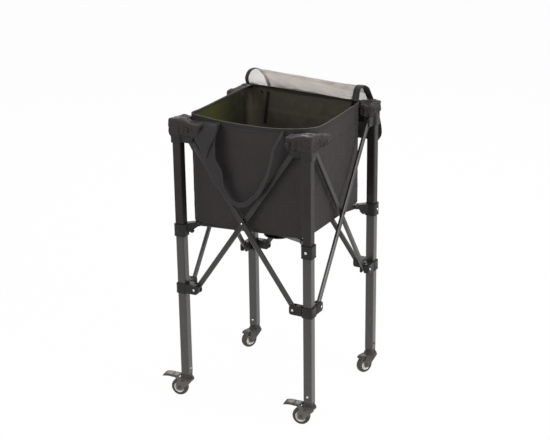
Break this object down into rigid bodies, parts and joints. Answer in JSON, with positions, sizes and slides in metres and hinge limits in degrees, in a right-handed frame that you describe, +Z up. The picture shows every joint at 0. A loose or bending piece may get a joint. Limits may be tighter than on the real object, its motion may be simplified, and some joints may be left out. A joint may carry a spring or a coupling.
{
  "type": "tennis ball cart",
  "caption": "folding tennis ball cart: charcoal square-tube legs on swivel casters, scissor braces on every side, black cloth bag with a grey mesh lid folded back",
  "frame": {"origin": "floor level, under the middle of the whole outline as stored", "axes": "+X along the front face from the left leg to the right leg, +Y to the back where the lid hangs, +Z up"},
  "size_m": [0.4622, 0.4816, 0.8425],
  "materials": {
    "charcoal_paint": "satin charcoal paint on steel tube",
    "black_moulding": "fine-grained black plastic moulding",
    "dark_steel": "pressed steel with a dark coating and bright axle ends",
    "tyre_grey": "dark grey rubber tread",
    "white_hub": "off-white moulded hub",
    "pedal_grey": "pressed metal pedal, grey-brown and a little worn",
    "black_nylon": "plain-weave black nylon cloth with sewn hems",
    "black_webbing": "black woven webbing strap",
    "grey_mesh": "pale grey open mesh with a black bound edge"
  },
  "bodies": {
    "leg_front_left": {"leg_front_left": "charcoal_paint", "top_bracket_front_left": "black_moulding", "collar_front_left": "black_moulding", "caster_plug_front_left": "black_moulding", "bag_front_panel": "black_nylon", "bag_left_panel": "black_nylon", "bag_floor": "black_nylon", "corner_hood_front_left": "black_nylon"},
    "brace_front_fall": {"brace_front_fall": "charcoal_paint"},
    "brace_front_rise": {"brace_front_rise": "charcoal_paint"},
    "leg_front_right": {"leg_front_right": "charcoal_paint", "top_bracket_front_right": "black_moulding", "collar_front_right": "black_moulding", "caster_plug_front_right": "black_moulding", "bag_right_panel": "black_nylon", "corner_hood_front_right": "black_nylon"},
    "brace_left_fall": {"brace_left_fall": "charcoal_paint"},
    "brace_left_rise": {"brace_left_rise": "charcoal_paint"},
    "leg_back_left": {"leg_back_left": "charcoal_paint", "top_bracket_back_left": "black_moulding", "collar_back_left": "black_moulding", "caster_plug_back_left": "black_moulding", "bag_back_panel": "black_nylon", "corner_hood_back_left": "black_nylon"},
    "brace_right_fall": {"brace_right_fall": "charcoal_paint"},
    "brace_right_rise": {"brace_right_rise": "charcoal_paint"},
    "leg_back_right": {"leg_back_right": "charcoal_paint", "top_bracket_back_right": "black_moulding", "collar_back_right": "black_moulding", "caster_plug_back_right": "black_moulding", "corner_hood_back_right": "black_nylon"},
    "brace_back_fall": {"brace_back_fall": "charcoal_paint"},
    "brace_back_rise": {"brace_back_rise": "charcoal_paint"},
    "slider_front_left": {"slider_front_left": "black_moulding"},
    "slider_front_right": {"slider_front_right": "black_moulding"},
    "slider_back_left": {"slider_back_left": "black_moulding"},
    "slider_back_right": {"slider_back_right": "black_moulding"},
    "floor_arm_front_left": {"floor_arm_front_left": "charcoal_paint"},
    "floor_arm_front_right": {"floor_arm_front_right": "charcoal_paint"},
    "floor_arm_back_left": {"floor_arm_back_left": "charcoal_paint"},
    "floor_arm_back_right": {"floor_arm_back_right": "charcoal_paint"},
    "floor_hub": {"floor_hub": "black_moulding"},
    "handle_front": {"handle_front": "black_webbing"},
    "handle_back": {"handle_back": "black_webbing"},
    "lid_root": {"lid_root": "grey_mesh"},
    "lid_flap": {"lid_flap": "grey_mesh"},
    "caster_front_left": {"fork_front_left": "dark_steel"},
    "wheel_front_left": {"tyre_front_left": "tyre_grey", "wheel_hub_front_left": "white_hub"},
    "brake_pedal_front_left": {"brake_pedal_front_left": "pedal_grey"},
    "caster_front_right": {"fork_front_right": "dark_steel"},
    "wheel_front_right": {"tyre_front_right": "tyre_grey", "wheel_hub_front_right": "white_hub"},
    "brake_pedal_front_right": {"brake_pedal_front_right": "pedal_grey"},
    "caster_back_left": {"fork_back_left": "dark_steel"},
    "wheel_back_left": {"tyre_back_left": "tyre_grey", "wheel_hub_back_left": "white_hub"},
    "caster_back_right": {"fork_back_right": "dark_steel"},
    "wheel_back_right": {"tyre_back_right": "tyre_grey", "wheel_hub_back_right": "white_hub"}
  },
  "joints": [
    {"name": "frame_fold", "type": "hinge", "parent": "leg_front_left", "child": "brace_front_fall", "pos_m": [-0.12185, -0.21773, 0.738], "axis": [0, 1, 0], "range_deg": [0, 26.32], "deforming": ["bag_front_panel", "bag_left_panel", "bag_right_panel", "bag_back_panel", "bag_floor", "corner_hood_front_left", "corner_hood_front_right", "corner_hood_back_left", "corner_hood_back_right", "handle_front", "handle_back", "lid_root", "lid_flap"]},
    {"name": "front_crossing", "type": "hinge", "parent": "brace_front_fall", "child": "brace_front_rise", "pos_m": [0.02565, -0.21773, 0.53], "axis": [0, 1, 0], "range_deg": [-52.84, 0]},
    {"name": "front_right_leg_hinge", "type": "hinge", "parent": "brace_front_rise", "child": "leg_front_right", "pos_m": [0.17315, -0.21773, 0.738], "axis": [0, 1, 0], "range_deg": [0, 26.52]},
    {"name": "left_brace_hinge", "type": "hinge", "parent": "leg_front_left", "child": "brace_left_fall", "pos_m": [-0.16185, -0.17773, 0.738], "axis": [-1, 0, 0], "range_deg": [0, 26.52]},
    {"name": "left_crossing", "type": "hinge", "parent": "brace_left_fall", "child": "brace_left_rise", "pos_m": [-0.16185, -0.03023, 0.53], "axis": [-1, 0, 0], "range_deg": [-52.84, 0]},
    {"name": "back_left_leg_hinge", "type": "hinge", "parent": "brace_left_rise", "child": "leg_back_left", "pos_m": [-0.16185, 0.11727, 0.738], "axis": [-1, 0, 0], "range_deg": [0, 26.52]},
    {"name": "right_brace_hinge", "type": "hinge", "parent": "leg_front_right", "child": "brace_right_fall", "pos_m": [0.21315, -0.17773, 0.738], "axis": [-1, 0, 0], "range_deg": [0, 26.52]},
    {"name": "right_crossing", "type": "hinge", "parent": "brace_right_fall", "child": "brace_right_rise", "pos_m": [0.21315, -0.03023, 0.53], "axis": [-1, 0, 0], "range_deg": [-52.84, 0]},
    {"name": "back_right_leg_hinge", "type": "hinge", "parent": "brace_right_rise", "child": "leg_back_right", "pos_m": [0.21315, 0.11727, 0.738], "axis": [-1, 0, 0], "range_deg": [0, 26.52]},
    {"name": "back_brace_hinge", "type": "hinge", "parent": "leg_back_left", "child": "brace_back_fall", "pos_m": [-0.12185, 0.15727, 0.738], "axis": [0, 1, 0], "range_deg": [0, 26.52]},
    {"name": "back_crossing", "type": "hinge", "parent": "brace_back_fall", "child": "brace_back_rise", "pos_m": [0.02565, 0.15727, 0.53], "axis": [0, 1, 0], "range_deg": [-52.84, 0]},
    {"name": "slider_front_left_hinge", "type": "hinge", "parent": "brace_front_rise", "child": "slider_front_left", "pos_m": [-0.12185, -0.21773, 0.322], "axis": [0, 1, 0], "range_deg": [0, 26.52]},
    {"name": "slider_front_right_hinge", "type": "hinge", "parent": "brace_front_fall", "child": "slider_front_right", "pos_m": [0.17315, -0.21773, 0.322], "axis": [0, 1, 0], "range_deg": [-26.52, 0]},
    {"name": "slider_back_left_hinge", "type": "hinge", "parent": "brace_left_fall", "child": "slider_back_left", "pos_m": [-0.16185, 0.11727, 0.322], "axis": [-1, 0, 0], "range_deg": [-26.52, 0]},
    {"name": "slider_back_right_hinge", "type": "hinge", "parent": "brace_right_fall", "child": "slider_back_right", "pos_m": [0.21315, 0.11727, 0.322], "axis": [-1, 0, 0], "range_deg": [-26.52, 0]},
    {"name": "floor_arm_hinge_front_left", "type": "hinge", "parent": "leg_front_left", "child": "floor_arm_front_left", "pos_m": [-0.12935, -0.18523, 0.4945], "axis": [-0.7071, 0.7071, 0], "range_deg": [0, 65.7]},
    {"name": "floor_arm_hinge_front_right", "type": "hinge", "parent": "leg_front_right", "child": "floor_arm_front_right", "pos_m": [0.18065, -0.18523, 0.4945], "axis": [-0.7071, -0.7071, 0], "range_deg": [0, 65.7]},
    {"name": "floor_arm_hinge_back_left", "type": "hinge", "parent": "leg_back_left", "child": "floor_arm_back_left", "pos_m": [-0.12935, 0.12477, 0.4945], "axis": [0.7071, 0.7071, 0], "range_deg": [0, 65.7]},
    {"name": "floor_arm_hinge_back_right", "type": "hinge", "parent": "leg_back_right", "child": "floor_arm_back_right", "pos_m": [0.18065, 0.12477, 0.4945], "axis": [0.7071, -0.7071, 0], "range_deg": [0, 65.7]},
    {"name": "floor_hub_hinge", "type": "hinge", "parent": "floor_arm_front_left", "child": "floor_hub", "pos_m": [0.00443, -0.05145, 0.44908], "axis": [-0.7071, 0.7071, 0], "range_deg": [-65.7, 0]},
    {"name": "handle_front_lift", "type": "hinge", "parent": "leg_front_left", "child": "handle_front", "pos_m": [0.02565, -0.19673, 0.788], "axis": [-1, 0, 0], "range_deg": [0, 150]},
    {"name": "handle_back_lift", "type": "hinge", "parent": "leg_back_left", "child": "handle_back", "pos_m": [0.02565, 0.13627, 0.788], "axis": [1, 0, 0], "range_deg": [0, 18]},
    {"name": "lid_close", "type": "hinge", "parent": "leg_back_left", "child": "lid_root", "pos_m": [0.02565, 0.08777, 0.812], "axis": [1, 0, 0], "range_deg": [0, 171.91]},
    {"name": "lid_unroll", "type": "hinge", "parent": "lid_root", "child": "lid_flap", "pos_m": [0.02565, 0.16477, 0.828], "axis": [1, 0, 0], "range_deg": [0, 78.51]},
    {"name": "swivel_front_left", "type": "hinge", "parent": "leg_front_left", "child": "caster_front_left", "pos_m": [-0.16185, -0.21773, 0.053], "axis": [0, 0, 1], "continuous": true},
    {"name": "wheel_spin_front_left", "type": "hinge", "parent": "caster_front_left", "child": "wheel_front_left", "pos_m": [-0.18364, -0.22079, 0.024], "axis": [-0.1392, 0.9903, 0], "continuous": true},
    {"name": "swivel_front_right", "type": "hinge", "parent": "leg_front_right", "child": "caster_front_right", "pos_m": [0.21315, -0.21773, 0.053], "axis": [0, 0, 1], "continuous": true},
    {"name": "wheel_spin_front_right", "type": "hinge", "parent": "caster_front_right", "child": "wheel_front_right", "pos_m": [0.19136, -0.22079, 0.024], "axis": [-0.1392, 0.9903, 0], "continuous": true},
    {"name": "swivel_back_left", "type": "hinge", "parent": "leg_back_left", "child": "caster_back_left", "pos_m": [-0.16185, 0.15727, 0.053], "axis": [0, 0, 1], "continuous": true},
    {"name": "wheel_spin_back_left", "type": "hinge", "parent": "caster_back_left", "child": "wheel_back_left", "pos_m": [-0.1708, 0.13717, 0.024], "axis": [-0.9135, 0.4067, 0], "continuous": true},
    {"name": "swivel_back_right", "type": "hinge", "parent": "leg_back_right", "child": "caster_back_right", "pos_m": [0.21315, 0.15727, 0.053], "axis": [0, 0, 1], "continuous": true},
    {"name": "wheel_spin_back_right", "type": "hinge", "parent": "caster_back_right", "child": "wheel_back_right", "pos_m": [0.2042, 0.13717, 0.024], "axis": [-0.9135, 0.4067, 0], "continuous": true},
    {"name": "pedal_press_front_left", "type": "hinge", "parent": "caster_front_left", "child": "brake_pedal_front_left", "pos_m": [-0.17176, -0.21912, 0.047], "axis": [0.1392, -0.9903, 0], "range_deg": [0, 12]},
    {"name": "pedal_press_front_right", "type": "hinge", "parent": "caster_front_right", "child": "brake_pedal_front_right", "pos_m": [0.20324, -0.21912, 0.047], "axis": [0.1392, -0.9903, 0], "range_deg": [0, 12]}
  ],
  "couplings": [
    {"joint": "front_crossing", "follows": "frame_fold", "ratio": -2},
    {"joint": "front_right_leg_hinge", "follows": "frame_fold", "ratio": 1},
    {"joint": "left_brace_hinge", "follows": "frame_fold", "ratio": 1},
    {"joint": "left_crossing", "follows": "frame_fold", "ratio": -2},
    {"joint": "back_left_leg_hinge", "follows": "frame_fold", "ratio": 1},
    {"joint": "right_brace_hinge", "follows": "frame_fold", "ratio": 1},
    {"joint": "right_crossing", "follows": "frame_fold", "ratio": -2},
    {"joint": "back_right_leg_hinge", "follows": "frame_fold", "ratio": 1},
    {"joint": "back_brace_hinge", "follows": "frame_fold", "ratio": 1},
    {"joint": "back_crossing", "follows": "frame_fold", "ratio": -2},
    {"joint": "slider_front_left_hinge", "follows": "frame_fold", "ratio": 1},
    {"joint": "slider_front_right_hinge", "follows": "frame_fold", "ratio": -1},
    {"joint": "slider_back_left_hinge", "follows": "frame_fold", "ratio": -1},
    {"joint": "slider_back_right_hinge", "follows": "frame_fold", "ratio": -1},
    {"joint": "floor_arm_hinge_front_left", "follows": "frame_fold", "ratio": 2.4884},
    {"joint": "floor_arm_hinge_front_right", "follows": "frame_fold", "ratio": 2.4884},
    {"joint": "floor_arm_hinge_back_left", "follows": "frame_fold", "ratio": 2.4884},
    {"joint": "floor_arm_hinge_back_right", "follows": "frame_fold", "ratio": 2.4884},
    {"joint": "floor_hub_hinge", "follows": "frame_fold", "ratio": -2.4884},
    {"joint": "lid_unroll", "follows": "lid_close", "ratio": 0.45548}
  ]
}
